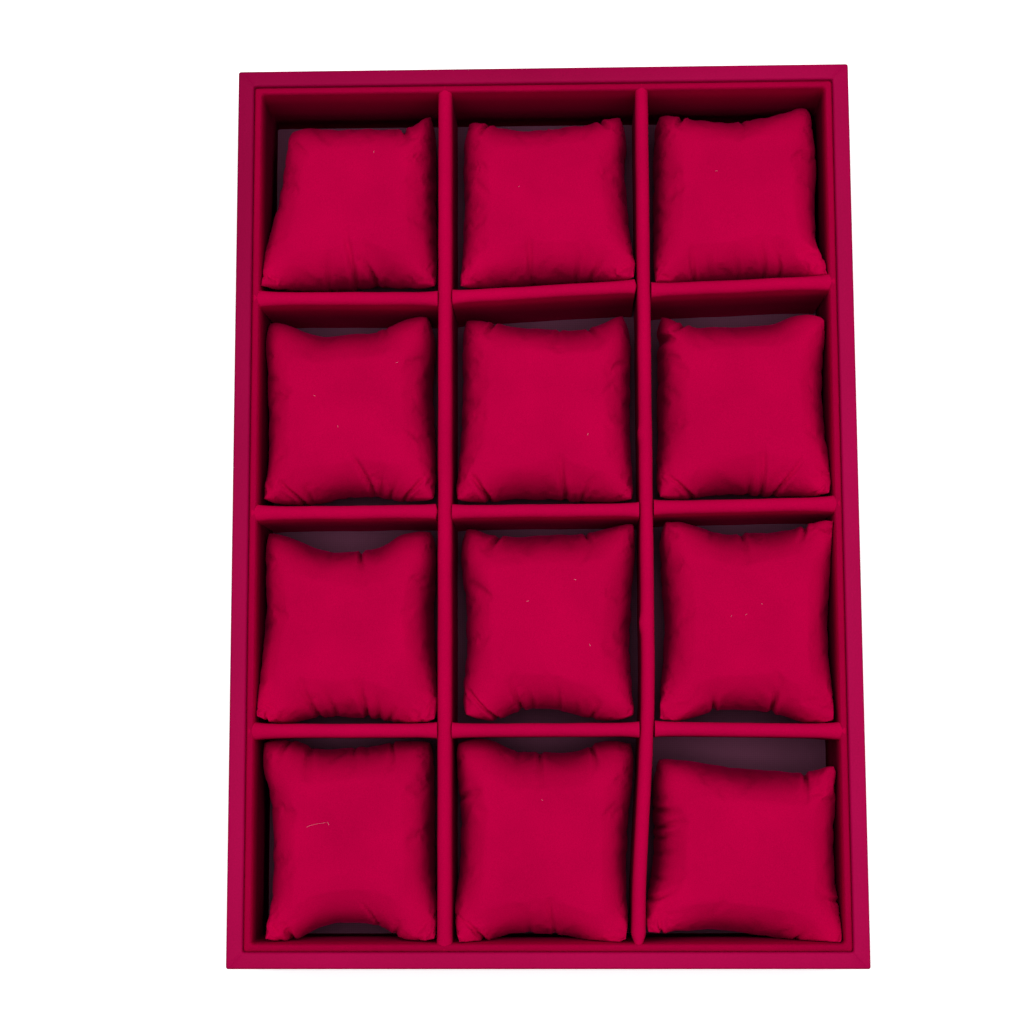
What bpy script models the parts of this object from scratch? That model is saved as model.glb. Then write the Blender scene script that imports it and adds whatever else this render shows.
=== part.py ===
"""Jewelry organizer tray: a leatherette frame, velvet dividers in twelve cells, and twelve small pillows.

Metres, +Z up. X runs across the three columns, Y along the four rows with +Y to the back, and the origin
is under the middle of the tray, on the surface that it stands on. Row 1 is the row at the back.
"""

import math

import bmesh
import bpy
from mathutils import Matrix, Vector

# Outer frame
TRAY_WIDTH = 0.240
TRAY_LENGTH = 0.348
TRAY_HEIGHT = 0.048
FRAME_THICKNESS = 0.0062
FRAME_EDGE_RADIUS = 0.0009
EDGE_SEGMENTS = 2

# Base board and the lining sheet on it
BASE_THICKNESS = 0.0024
LINING_THICKNESS = 0.0008

# Velvet boards inside the four walls
LINER_THICKNESS = 0.0026
LINER_EDGE_RADIUS = 0.0012
LINER_DROP = 0.0012
GROOVE_WIDTH = 0.0004

# Dividers: a round velvet top, and a tab at each end that rests in a notch of the liner
DIVIDER_HALF_ROUND = 0.0020
ROUND_SEGMENTS = 3
TAB_HEIGHT = 0.014
LONG_THICKNESS = 0.0050
CROSS_THICKNESS = 0.0046
FLARE_LENGTH = 0.0035
FLARE_STEPS = (0.5, 1.2, 2.4)

# Clearance between pieces that touch
FIT_GAP = 0.0003

# Long dividers: how far each stands off its even third, its thickness at the back and front end,
# and how far its front stretch is bent sideways
LONG_DIVIDERS = {
    "left": {"off": -0.0014, "back_end": 0.0050, "front_end": 0.0062, "bend": 0.0},
    "right": {"off": 0.0022, "back_end": 0.0050, "front_end": 0.0058, "bend": -0.0048},
}
BEND_START_Y = -0.060
BEND_LENGTH = 0.105
BEND_STEPS = 6

# Cross dividers by row and column: how far the middle of each stands off its even row line, and how far
# its right end stands further back than its left end
CROSS_DIVIDERS = {
    (1, 1): {"off": 0.0000, "rise": -0.0006},
    (1, 2): {"off": 0.0020, "rise": 0.0036},
    (1, 3): {"off": 0.0034, "rise": 0.0024},
    (2, 1): {"off": -0.0017, "rise": 0.0003},
    (2, 2): {"off": -0.0016, "rise": 0.0003},
    (2, 3): {"off": -0.0002, "rise": 0.0010},
    (3, 1): {"off": -0.0029, "rise": 0.0000},
    (3, 2): {"off": -0.0029, "rise": 0.0001},
    (3, 3): {"off": -0.0031, "rise": -0.0011},
}
CROSS_WALL_END = 0.0062
CROSS_INNER_END = 0.0056
COLUMNS = 3
ROWS = 4

# Pillows: seam height and crown above the lining, and how the stuffed form rounds over
SEAM_HEIGHT = 0.022
BACK_EAR_LIFT = 0.009
FRONT_EAR_LIFT = 0.015
CROWN_HEIGHT = 0.0155
CROWN_POWER = 2.6
ROUND_POWER = 0.55
EAR_POWER = 3.0
SEAM_POWER = 4
MESH_STEPS = 15
BELLY_SHARE = 0.94
BELLY_HEIGHT_SHARE = 0.42
REST_SHARE = 0.74
FOLD_WIDTH = 0.0030
FOLD_PULL = 0.45
FOLD_RIDGE = 0.35
RIDGE_PLACE = 1.9
PILLOW_SMOOTH_ANGLE = 70.0
BOARD_SMOOTH_ANGLE = 40.0

# Each pillow: how far its four ears stay from the side wall and from the back or front wall of its cell,
# how far each side pulls in between its ears (back, right, front, left), and its folds as side, place
# along that side from -1 to 1, reach into the pillow and depth
PILLOWS = {
    (1, 1): {
        "back_left": (0.0095, 0.0110), "back_right": (0.0030, 0.0050),
        "front_right": (0.0010, 0.0040), "front_left": (0.0010, 0.0040),
        "pull": (0.0020, 0.0010, 0.0025, 0.0020),
        "folds": [
            ("front", 0.07, 0.020, 0.0030),
            ("front", 0.33, 0.009, 0.0020),
            ("front", -0.20, 0.008, 0.0015),
        ],
    },
    (1, 2): {
        "back_left": (0.0070, 0.0075), "back_right": (0.0050, 0.0060),
        "front_right": (0.0010, 0.0035), "front_left": (0.0015, 0.0035),
        "pull": (0.0025, 0.0020, 0.0012, 0.0015),
        "folds": [
            ("front", -0.20, 0.016, 0.0022),
            ("front", 0.33, 0.007, 0.0014),
        ],
    },
    (1, 3): {
        "back_left": (0.0055, 0.0060), "back_right": (0.0050, 0.0035),
        "front_right": (0.0010, 0.0035), "front_left": (0.0020, 0.0055),
        "pull": (0.0030, 0.0010, 0.0010, 0.0010),
        "folds": [
            ("front", -0.46, 0.010, 0.0016),
            ("front", -0.07, 0.012, 0.0018),
            ("front", 0.46, 0.010, 0.0020),
        ],
    },
    (2, 1): {
        "back_left": (0.0035, 0.0040), "back_right": (0.0050, 0.0020),
        "front_right": (0.0010, 0.0030), "front_left": (0.0010, 0.0030),
        "pull": (0.0045, 0.0015, 0.0030, 0.0018),
        "folds": [
            ("front", 0.20, 0.018, 0.0034),
            ("front", 0.46, 0.010, 0.0022),
            ("front", -0.46, 0.010, 0.0024),
            ("back", 0.33, 0.008, 0.0014),
        ],
    },
    (2, 2): {
        "back_left": (0.0060, 0.0040), "back_right": (0.0070, 0.0050),
        "front_right": (0.0015, 0.0025), "front_left": (0.0010, 0.0025),
        "pull": (0.0035, 0.0015, 0.0025, 0.0015),
        "folds": [
            ("front", 0.20, 0.013, 0.0030),
            ("front", -0.60, 0.010, 0.0022),
            ("back", -0.46, 0.008, 0.0014),
        ],
    },
    (2, 3): {
        "back_left": (0.0040, 0.0055), "back_right": (0.0055, 0.0060),
        "front_right": (0.0010, 0.0020), "front_left": (0.0020, 0.0020),
        "pull": (0.0035, 0.0010, 0.0025, 0.0030),
        "folds": [
            ("front", 0.20, 0.018, 0.0024),
            ("front", 0.46, 0.012, 0.0026),
            ("left", 0.73, 0.010, 0.0030),
        ],
    },
    (3, 1): {
        "back_left": (0.0025, 0.0035), "back_right": (0.0030, 0.0035),
        "front_right": (0.0010, 0.0015), "front_left": (0.0010, 0.0020),
        "pull": (0.0075, 0.0018, 0.0025, 0.0012),
        "folds": [
            ("back", 0.07, 0.012, 0.0030),
            ("back", -0.46, 0.009, 0.0018),
            ("front", -0.33, 0.018, 0.0030),
            ("front", 0.07, 0.010, 0.0020),
            ("front", 0.33, 0.014, 0.0024),
        ],
    },
    (3, 2): {
        "back_left": (0.0065, 0.0025), "back_right": (0.0035, 0.0015),
        "front_right": (0.0010, 0.0020), "front_left": (0.0040, 0.0025),
        "pull": (0.0038, 0.0012, 0.0035, 0.0012),
        "folds": [
            ("front", -0.33, 0.013, 0.0028),
            ("front", 0.07, 0.008, 0.0018),
            ("front", -0.73, 0.010, 0.0024),
            ("back", -0.33, 0.009, 0.0018),
        ],
    },
    (3, 3): {
        "back_left": (0.0045, 0.0020), "back_right": (0.0010, 0.0015),
        "front_right": (0.0010, 0.0015), "front_left": (0.0025, 0.0015),
        "pull": (0.0058, 0.0015, 0.0042, 0.0022),
        "folds": [
            ("back", -0.20, 0.011, 0.0030),
            ("back", 0.73, 0.007, 0.0016),
            ("front", 0.20, 0.009, 0.0034),
            ("front", -0.46, 0.007, 0.0018),
        ],
    },
    (4, 1): {
        "back_left": (0.0015, 0.0015), "back_right": (0.0030, 0.0015),
        "front_right": (0.0010, 0.0010), "front_left": (0.0030, 0.0010),
        "pull": (0.0035, 0.0015, 0.0058, 0.0030),
        "folds": [
            ("back", -0.60, 0.012, 0.0022),
            ("front", 0.20, 0.010, 0.0024),
            ("front", 0.46, 0.008, 0.0016),
        ],
    },
    (4, 2): {
        "back_left": (0.0015, 0.0015), "back_right": (0.0025, 0.0018),
        "front_right": (0.0010, 0.0010), "front_left": (0.0015, 0.0010),
        "pull": (0.0048, 0.0022, 0.0034, 0.0012),
        "folds": [
            ("back", -0.07, 0.010, 0.0024),
            ("front", 0.20, 0.013, 0.0024),
            ("front", -0.73, 0.010, 0.0024),
        ],
    },
    (4, 3): {
        "back_left": (0.0025, 0.0085), "back_right": (0.0010, 0.0095),
        "front_right": (0.0010, 0.0010), "front_left": (0.0012, 0.0025),
        "pull": (0.0032, 0.0018, 0.0024, 0.0032),
        "folds": [
            ("left", 0.46, 0.010, 0.0032),
            ("left", 0.20, 0.014, 0.0036),
            ("left", -0.20, 0.011, 0.0028),
            ("left", -0.60, 0.009, 0.0020),
            ("back", 0.73, 0.008, 0.0024),
        ],
    },
}

# Colours, roughness and the sheen of the four surfaces
FINISHES = {
    "leatherette": ((0.376, 0.005, 0.059), 0.42, 0.0),
    "velvet": ((0.480, 0.001, 0.048), 0.85, 0.6),
    "lining": ((0.110, 0.045, 0.070), 0.90, 0.2),
    "board": ((0.060, 0.030, 0.035), 0.80, 0.0),
}

# Sizes that follow from the ones above
INNER_HALF_WIDTH = TRAY_WIDTH / 2 - FRAME_THICKNESS
INNER_HALF_LENGTH = TRAY_LENGTH / 2 - FRAME_THICKNESS
LINER_OUTER_X = INNER_HALF_WIDTH - GROOVE_WIDTH
LINER_OUTER_Y = INNER_HALF_LENGTH - GROOVE_WIDTH
CELL_HALF_WIDTH = LINER_OUTER_X - LINER_THICKNESS
CELL_HALF_LENGTH = LINER_OUTER_Y - LINER_THICKNESS
LINING_TOP = BASE_THICKNESS + FIT_GAP + LINING_THICKNESS
STAND_Z = LINING_TOP + FIT_GAP
DIVIDER_TOP = TRAY_HEIGHT - LINER_DROP
TAB_BOTTOM = DIVIDER_TOP - TAB_HEIGHT


def clear_scene():
    for old in list(bpy.data.objects):
        bpy.data.objects.remove(old)


def new_collection(name):
    collection = bpy.data.collections.new(name)
    bpy.context.scene.collection.children.link(collection)
    return collection


def make_material(name, finish):
    colour, roughness, sheen = finish
    material = bpy.data.materials.new(name)
    material.use_nodes = True
    shader = material.node_tree.nodes["Principled BSDF"]
    shader.inputs["Base Color"].default_value = (*colour, 1.0)
    shader.inputs["Roughness"].default_value = roughness
    shader.inputs["Sheen Weight"].default_value = sheen
    return material


def add_object(name, shape, finish, smooth_angle=BOARD_SMOOTH_ANGLE):
    mesh = bpy.data.meshes.new(name)
    bmesh.ops.recalc_face_normals(shape, faces=shape.faces)
    shape.to_mesh(mesh)
    shape.free()
    mesh.shade_smooth()
    mesh.set_sharp_from_angle(angle=math.radians(smooth_angle))
    mesh.materials.append(make_material(name, FINISHES[finish]))
    thing = bpy.data.objects.new(name, mesh)
    PARTS.objects.link(thing)
    return thing


def block(size, centre):
    """A box of the given size about a centre, as a bmesh."""
    shape = bmesh.new()
    bmesh.ops.create_cube(shape, size=1.0)
    bmesh.ops.scale(shape, vec=Vector(size), verts=shape.verts)
    bmesh.ops.translate(shape, vec=Vector(centre), verts=shape.verts)
    return shape


def long_edges(shape, height):
    """The edges that run along X at the given height."""
    level = [e for e in shape.edges if all(abs(v.co.z - height) < 1e-6 for v in e.verts)]
    return [e for e in level if abs(e.verts[0].co.y - e.verts[1].co.y) < 1e-6]


def round_edges(shape, edges, radius, segments):
    bmesh.ops.bevel(
        shape, geom=edges, offset=radius, segments=segments, profile=0.5, affect="EDGES", clamp_overlap=True
    )


def mitred_board(name, length, thickness, low, high, radius, segments, finish):
    """A wall board along X with its outer face at y = 0, its inner face at -thickness and mitred ends."""
    shape = block((length, thickness, high - low), (0.0, -thickness / 2, (low + high) / 2))
    round_edges(shape, long_edges(shape, high), radius, segments)
    for vertex in shape.verts:
        depth = -vertex.co.y
        end = length / 2 - depth - FIT_GAP / 2
        vertex.co.x = math.copysign(end, vertex.co.x)
    return add_object(name, shape, finish)


def place_wall(thing, side, half_width, half_length):
    """Turn a wall board so that its outer face stands on the named side."""
    turn, spot = {
        "back": (0.0, (0.0, half_length)),
        "front": (180.0, (0.0, -half_length)),
        "left": (90.0, (-half_width, 0.0)),
        "right": (-90.0, (half_width, 0.0)),
    }[side]
    thing.matrix_world = Matrix.Translation((*spot, 0.0)) @ Matrix.Rotation(math.radians(turn), 4, "Z")


def cut(thing, name, size, centre):
    """Take a box out of a piece with a Boolean and its named cutter."""
    mesh = bpy.data.meshes.new(name)
    shape = block(size, centre)
    shape.to_mesh(mesh)
    shape.free()
    cutter = bpy.data.objects.new(name, mesh)
    cutter.hide_render = True
    cutter.display_type = "WIRE"
    CUTTERS.objects.link(cutter)
    boolean = thing.modifiers.new(name, "BOOLEAN")
    boolean.operation = "DIFFERENCE"
    boolean.solver = "EXACT"
    boolean.object = cutter


def long_divider_x(side, y):
    """Where the middle of a long divider stands at a given y."""
    data = LONG_DIVIDERS[side]
    third = CELL_HALF_WIDTH / COLUMNS
    straight = data["off"] + (-third if side == "left" else third)
    share = min(max((BEND_START_Y - y) / BEND_LENGTH, 0.0), 1.0)
    return straight + data["bend"] * share * share * (3.0 - 2.0 * share)


def long_divider_slope(side, y):
    behind = long_divider_x(side, y + CROSS_THICKNESS)
    ahead = long_divider_x(side, y - CROSS_THICKNESS)
    return (behind - ahead) / (2 * CROSS_THICKNESS)


def row_line(row):
    """The even line between a row and the next."""
    return CELL_HALF_LENGTH - row * (2 * CELL_HALF_LENGTH / ROWS)


def cell_sides(column, y):
    """The inner faces left and right of a column at a given y."""
    left = -CELL_HALF_WIDTH
    right = CELL_HALF_WIDTH
    if column > 1:
        left = long_divider_x(("left", "right")[column - 2], y) + LONG_THICKNESS / 2
    if column < COLUMNS:
        right = long_divider_x(("left", "right")[column - 1], y) - LONG_THICKNESS / 2
    return left, right


def cross_divider_y(row, column, x):
    """Where the middle of a cross divider stands at a given x."""
    data = CROSS_DIVIDERS[(row, column)]
    middle = row_line(row) + data["off"]
    left, right = cell_sides(column, middle)
    return middle + data["rise"] * (x - (left + right) / 2) / (right - left)


def cell_ends(row, column, x):
    """The inner faces in front of and behind a cell at a given x."""
    front = -CELL_HALF_LENGTH
    back = CELL_HALF_LENGTH
    if row > 1:
        back = cross_divider_y(row - 1, column, x) - CROSS_THICKNESS / 2
    if row < ROWS:
        front = cross_divider_y(row, column, x) + CROSS_THICKNESS / 2
    return front, back


def divider_bar(start, end, thickness, start_width, end_width, more_steps=()):
    """A bar along X with a round top, whose sides flare towards its ends, cut into steps to bend at."""
    height = DIVIDER_TOP - STAND_Z
    shape = block((end - start, thickness, height), ((start + end) / 2, 0.0, STAND_Z + height / 2))
    steps = [start + share * FLARE_LENGTH for share in FLARE_STEPS]
    steps += [end - share * FLARE_LENGTH for share in FLARE_STEPS]
    for place in [*steps, *more_steps]:
        geometry = shape.verts[:] + shape.edges[:] + shape.faces[:]
        bmesh.ops.bisect_plane(shape, geom=geometry, plane_co=(place, 0, 0), plane_no=(1, 0, 0))
    round_edges(shape, long_edges(shape, DIVIDER_TOP), DIVIDER_HALF_ROUND, ROUND_SEGMENTS)
    for vertex in shape.verts:
        near_start = math.exp((start - vertex.co.x) / FLARE_LENGTH)
        near_end = math.exp((vertex.co.x - end) / FLARE_LENGTH)
        width = thickness + (start_width - thickness) * near_start + (end_width - thickness) * near_end
        vertex.co.y *= width / thickness
    return shape


def cut_step(thing, name, spot, axis):
    """Take away a divider's lower corner, so that only its tab reaches over the liner at an end."""
    reach = 2 * (LINER_THICKNESS + FIT_GAP)
    across = 2 * max(LONG_THICKNESS, CROSS_WALL_END)
    size = (reach, across, TAB_BOTTOM) if axis == "x" else (across, reach, TAB_BOTTOM)
    cut(thing, name, size, (*spot, TAB_BOTTOM / 2))


def make_long_divider(side):
    """A divider that runs the whole length, bent over its front stretch, with a tab at each end."""
    name = "long_divider_" + side
    data = LONG_DIVIDERS[side]
    bend_places = []
    if data["bend"]:
        bend_places = [BEND_START_Y - BEND_LENGTH * k / BEND_STEPS for k in range(BEND_STEPS)]
    ends = (data["front_end"], data["back_end"])
    shape = divider_bar(-LINER_OUTER_Y, LINER_OUTER_Y, LONG_THICKNESS, *ends, bend_places)
    for vertex in shape.verts:
        along, across = vertex.co.x, vertex.co.y
        vertex.co.x = long_divider_x(side, along) - across
        vertex.co.y = along
    thing = add_object(name, shape, "velvet")
    for end_name, sign in (("front", -1), ("back", 1)):
        spot = (long_divider_x(side, sign * CELL_HALF_LENGTH), sign * LINER_OUTER_Y)
        cut_step(thing, name + "_step_" + end_name, spot, "y")


def make_cross_divider(row, column):
    """A short divider between two long ones, or between a long one and a tab notch in the side liner."""
    name = "cross_divider_r%d_c%d" % (row, column)
    data = CROSS_DIVIDERS[(row, column)]
    middle = row_line(row) + data["off"]
    left, right = cell_sides(column, middle)
    slope = data["rise"] / (right - left)
    places, widths = [], []
    for place, inward, at_wall in ((left, 1, column == 1), (right, -1, column == COLUMNS)):
        if at_wall:
            places.append(-inward * LINER_OUTER_X)
            widths.append(CROSS_WALL_END)
        else:
            y = cross_divider_y(row, column, place)
            side = "left" if place < 0 else "right"
            turn = abs(long_divider_slope(side, y) + slope)
            face = long_divider_x(side, y) + inward * LONG_THICKNESS / 2
            places.append(face + inward * (FIT_GAP + turn * CROSS_INNER_END / 2))
            widths.append(CROSS_INNER_END)
    shape = divider_bar(*places, CROSS_THICKNESS, *widths)
    for vertex in shape.verts:
        vertex.co.y += cross_divider_y(row, column, vertex.co.x)
    thing = add_object(name, shape, "velvet")
    if column in (1, COLUMNS):
        wall_x = -LINER_OUTER_X if column == 1 else LINER_OUTER_X
        cut_step(thing, name + "_step", (wall_x, cross_divider_y(row, column, wall_x)), "x")


def make_frame():
    for side in ("left", "right", "back", "front"):
        length = TRAY_LENGTH if side in ("left", "right") else TRAY_WIDTH
        form = (length, FRAME_THICKNESS, 0.0, TRAY_HEIGHT, FRAME_EDGE_RADIUS, EDGE_SEGMENTS)
        board = mitred_board("frame_side_" + side, *form, "leatherette")
        place_wall(board, side, TRAY_WIDTH / 2, TRAY_LENGTH / 2)


def make_floor():
    half_x = INNER_HALF_WIDTH - FIT_GAP
    half_y = INNER_HALF_LENGTH - FIT_GAP
    base = block((2 * half_x, 2 * half_y, BASE_THICKNESS), (0.0, 0.0, BASE_THICKNESS / 2))
    add_object("base_panel", base, "board")
    low = BASE_THICKNESS + FIT_GAP
    lining = block((2 * half_x, 2 * half_y, LINING_THICKNESS), (0.0, 0.0, low + LINING_THICKNESS / 2))
    add_object("floor_lining", lining, "lining")


def notch(board, name, spot, width, along_x):
    """The slot in a liner's top edge that takes a divider's tab."""
    across = 4 * LINER_THICKNESS
    size = (width, across) if along_x else (across, width)
    height = TAB_HEIGHT + FIT_GAP + LINER_DROP
    cut(board, name, (*size, height), (*spot, TAB_BOTTOM - FIT_GAP + height / 2))


def make_liners():
    boards = {}
    for side in ("left", "right", "back", "front"):
        length = 2 * (LINER_OUTER_Y if side in ("left", "right") else LINER_OUTER_X)
        form = (length, LINER_THICKNESS, STAND_Z, DIVIDER_TOP, LINER_EDGE_RADIUS, ROUND_SEGMENTS)
        boards[side] = mitred_board("liner_" + side, *form, "velvet")
        place_wall(boards[side], side, LINER_OUTER_X, LINER_OUTER_Y)
    for side, data in LONG_DIVIDERS.items():
        for wall, sign in (("back", 1), ("front", -1)):
            y = sign * (LINER_OUTER_Y - LINER_THICKNESS / 2)
            width = data[wall + "_end"] + 2 * FIT_GAP
            notch(boards[wall], "notch_%s_%s" % (wall, side), (long_divider_x(side, y), y), width, True)
    for row in range(1, ROWS):
        for wall, column, sign in (("left", 1, -1), ("right", COLUMNS, 1)):
            x = sign * (LINER_OUTER_X - LINER_THICKNESS / 2)
            spot = (x, cross_divider_y(row, column, x))
            notch(boards[wall], "notch_%s_r%d" % (wall, row), spot, CROSS_WALL_END + 2 * FIT_GAP, False)


def pillow_outline(row, column):
    """The four ears of a pillow, each held off the walls of its own cell."""
    data = PILLOWS[(row, column)]
    ears = {}
    middle_y = row_line(row) + CELL_HALF_LENGTH / ROWS
    left, right = cell_sides(column, middle_y)
    for back in (False, True):
        for at_right in (False, True):
            name = ("back" if back else "front") + ("_right" if at_right else "_left")
            from_side, from_end = data[name]
            front_y, back_y = cell_ends(row, column, right if at_right else left)
            y = back_y - from_end if back else front_y + from_end
            side_left, side_right = cell_sides(column, y)
            x = side_right - from_side if at_right else side_left + from_side
            ears[name] = Vector((x, y))
    return ears


def fold_depth(folds, u, v, half_size):
    """How deep the pillow's gathers press in at (u, v), with a low ridge on each side of every valley."""
    total = 0.0
    for side, place, reach, depth in folds:
        across, inward = (u, v) if side in ("front", "back") else (v, u)
        sign = 1.0 if side in ("back", "right") else -1.0
        distance = (1.0 - sign * inward) * half_size
        if distance > reach:
            continue
        mesh_line = round((place + 1) / 2 * MESH_STEPS)
        place = 2 * mesh_line / MESH_STEPS - 1
        offset = (across - place) * half_size / FOLD_WIDTH
        valley = math.exp(-offset * offset) - FOLD_RIDGE * math.exp(-((abs(offset) - RIDGE_PLACE) ** 2))
        fade = math.cos(distance / reach * math.pi / 2)
        total += depth * valley * fade
    return total


def pillow_point(ears, data, u, v, half_size):
    """A point of the upper cover: u runs left to right and v front to back, both from -1 to 1."""
    back_pull, right_pull, front_pull, left_pull = data["pull"]
    s, t = (u + 1) / 2, (v + 1) / 2
    front = ears["front_left"].lerp(ears["front_right"], s)
    back = ears["back_left"].lerp(ears["back_right"], s)
    spot = front.lerp(back, t)
    along_u = 1.0 - abs(u) ** EAR_POWER
    along_v = 1.0 - abs(v) ** EAR_POWER
    spot.y += along_u * (front_pull * (1 - t) - back_pull * t)
    spot.x += along_v * (left_pull * (1 - s) - right_pull * s)
    press = fold_depth(data["folds"], u, v, half_size)
    inward = Vector((-u, -v)).normalized()
    spot += inward * max(press, 0.0) * FOLD_PULL * max(abs(u), abs(v)) ** SEAM_POWER
    fullness = ((1.0 - abs(u) ** CROWN_POWER) * (1.0 - abs(v) ** CROWN_POWER)) ** ROUND_POWER
    ear_lift = FRONT_EAR_LIFT + (BACK_EAR_LIFT - FRONT_EAR_LIFT) * t
    seam = STAND_Z + SEAM_HEIGHT + ear_lift * abs(u * v) ** EAR_POWER
    return Vector((spot.x, spot.y, seam + CROWN_HEIGHT * fullness - press * (1.0 + fullness) / 2))


def make_pillow(row, column):
    """A stuffed velvet pillow: crowned top, eared corners, gathered sides and a flat patch to rest on."""
    name = "pillow_r%d_c%d" % (row, column)
    data = PILLOWS[(row, column)]
    ears = pillow_outline(row, column)
    half_size = (ears["back_left"] - ears["front_right"]).length / math.sqrt(8)
    shape = bmesh.new()
    bmesh.ops.create_grid(shape, x_segments=MESH_STEPS, y_segments=MESH_STEPS, size=1.0)
    rim = [e for e in shape.edges if e.is_boundary]
    lower = {}
    for share, height in ((BELLY_SHARE, BELLY_HEIGHT_SHARE), (REST_SHARE, 0.0)):
        grown = bmesh.ops.extrude_edge_only(shape, edges=rim)["geom"]
        rim = [g for g in grown if isinstance(g, bmesh.types.BMEdge)]
        lower.update({g: (share, height) for g in grown if isinstance(g, bmesh.types.BMVert)})
    bmesh.ops.edgeloop_fill(shape, edges=rim)
    for vertex in shape.verts:
        u, v = vertex.co.x, vertex.co.y
        point = pillow_point(ears, data, u, v, half_size)
        if vertex in lower:
            share, height = lower[vertex]
            inner = pillow_point(ears, data, u * share, v * share, half_size)
            point = Vector((inner.x, inner.y, STAND_Z + (point.z - STAND_Z) * height))
        vertex.co = point
    add_object(name, shape, "velvet", PILLOW_SMOOTH_ANGLE)


clear_scene()
PARTS = new_collection("jewelry_organizer")
CUTTERS = new_collection("cutters")
make_frame()
make_floor()
make_liners()
for divider_side in LONG_DIVIDERS:
    make_long_divider(divider_side)
for divider_row, divider_column in CROSS_DIVIDERS:
    make_cross_divider(divider_row, divider_column)
for pillow_row, pillow_column in PILLOWS:
    make_pillow(pillow_row, pillow_column)
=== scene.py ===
import math

import bpy
import numpy as np
from mathutils import Euler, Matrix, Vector, noise


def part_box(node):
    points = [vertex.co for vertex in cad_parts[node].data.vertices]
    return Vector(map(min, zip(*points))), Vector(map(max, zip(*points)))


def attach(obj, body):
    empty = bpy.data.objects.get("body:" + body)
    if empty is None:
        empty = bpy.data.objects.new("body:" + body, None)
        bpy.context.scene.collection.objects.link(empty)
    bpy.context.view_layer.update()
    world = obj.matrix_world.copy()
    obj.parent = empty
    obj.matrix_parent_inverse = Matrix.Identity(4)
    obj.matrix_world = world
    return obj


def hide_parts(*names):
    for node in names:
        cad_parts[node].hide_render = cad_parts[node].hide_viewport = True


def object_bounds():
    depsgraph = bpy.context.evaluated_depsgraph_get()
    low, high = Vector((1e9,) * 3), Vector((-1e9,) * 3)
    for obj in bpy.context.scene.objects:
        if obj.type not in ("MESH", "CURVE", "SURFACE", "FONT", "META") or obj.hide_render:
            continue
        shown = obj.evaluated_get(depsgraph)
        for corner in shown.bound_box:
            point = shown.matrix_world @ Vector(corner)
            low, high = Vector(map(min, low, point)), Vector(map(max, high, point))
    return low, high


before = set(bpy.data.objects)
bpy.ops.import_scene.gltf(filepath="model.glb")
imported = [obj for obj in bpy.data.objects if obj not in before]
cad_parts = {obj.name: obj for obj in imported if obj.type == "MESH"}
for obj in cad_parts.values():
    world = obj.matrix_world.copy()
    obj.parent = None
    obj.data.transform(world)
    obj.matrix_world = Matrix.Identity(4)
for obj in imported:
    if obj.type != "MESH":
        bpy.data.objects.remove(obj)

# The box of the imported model, before anything is added
CAD_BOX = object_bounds()

# Camera, fitted to the tray's corners, rim and floor lines in the photo
CAMERA_SPOT = (0.0087, -0.0937, 0.7863)
CAMERA_TURN = (7.0406, 1.6579, -0.1854)
FOCAL_LENGTH_PX = 1944.7
PHOTO_WIDTH_PX = 1024
SENSOR_WIDTH = 36.0

# Light: a wide soft lamp straight above, a weak one at the front right, and an even surround
KEY_SPOT = (0.03, 0.12, 1.35)
KEY_SIZE = (2.20, 1.20)
KEY_POWER = 25.0
FILL_SPOT = (0.90, -0.80, 0.90)
FILL_SIZE = (0.60, 0.60)
FILL_POWER = 0.8
SURROUND = 0.05
SURROUND_TINT = (0.85, 0.95, 1.25)
FLOOR_SIZE = 6.0
FLOOR_COLOUR = (0.92, 0.92, 0.92)
FLOOR_GLOW = 0.55

# Velvet, leatherette, lining and board colours (linear)
VELVET_LIGHT = (0.550, 0.0, 0.0560)
VELVET_DARK = (0.480, 0.0, 0.0490)
VELVET_SHEEN = (0.90, 0.0, 0.14)
PILLOW_SHEEN = 0.22
BOARD_SHEEN = 0.06
LEATHER_LIGHT = (0.345, 0.0010, 0.0530)
LEATHER_DARK = (0.300, 0.0008, 0.0440)
LINING_LIGHT = (0.142, 0.036, 0.078)
LINING_DARK = (0.110, 0.028, 0.060)
BOARD_LIGHT = (0.075, 0.035, 0.042)
BOARD_DARK = (0.045, 0.022, 0.028)
LINT_PINK = (0.62, 0.10, 0.18)
LINT_PALE = (0.85, 0.30, 0.38)

# Noise scales of the materials, and the band of the noise that their colours spread over
BOARD_NAP = 22.0
PILLOW_NAP = 38.0
PILE_SCALE = 2600.0
FIBRE_SCALE = 900.0
LEATHER_PATCH_SCALE = 14.0
LEATHER_GRAIN_SCALE = 1500.0
LEATHER_CELL_SCALE = 1100.0
LINING_PATCH_SCALE = 30.0
WEAVE_SCALE = 420.0
BOARD_FIBRE_SCALE = 350.0
LINT_SCALE = 800.0
NOISE_LOW = 0.3
NOISE_HIGH = 0.7

# Painted shade: the velvet's colour is darkened down in the cells, most of all on faces that look sideways,
# standing in for the shade that falls there: heights and the shares of its colour there
PAINTED_SHADE_HEIGHT = 0.050
BOARD_PAINTED_SHADE = ((0.004, 0.50), (0.022, 0.38), (0.034, 0.52), (0.040, 0.92), (0.0462, 1.00))
BOARD_SIDE_PAINTED_SHADE = ((0.004, 0.30), (0.022, 0.10), (0.034, 0.14), (0.041, 0.50), (0.0462, 1.00))
LINER_PAINTED_SHADE = ((0.004, 0.55), (0.022, 0.42), (0.035, 0.56), (0.041, 0.84), (0.0445, 0.88), (0.0468, 0.72))
LINER_SIDE_PAINTED_SHADE = (
    (0.004, 0.30), (0.022, 0.10), (0.034, 0.14), (0.041, 0.50), (0.0450, 0.98), (0.0468, 0.80),
)
# Painted shade on the pillows: their colour is darker lower down their sides, where the cells shade them
PILLOW_PAINTED_SHADE = ((0.004, 0.20), (0.024, 0.22), (0.031, 0.42), (0.0352, 0.72), (0.038, 0.93), (0.0405, 1.00))
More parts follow.
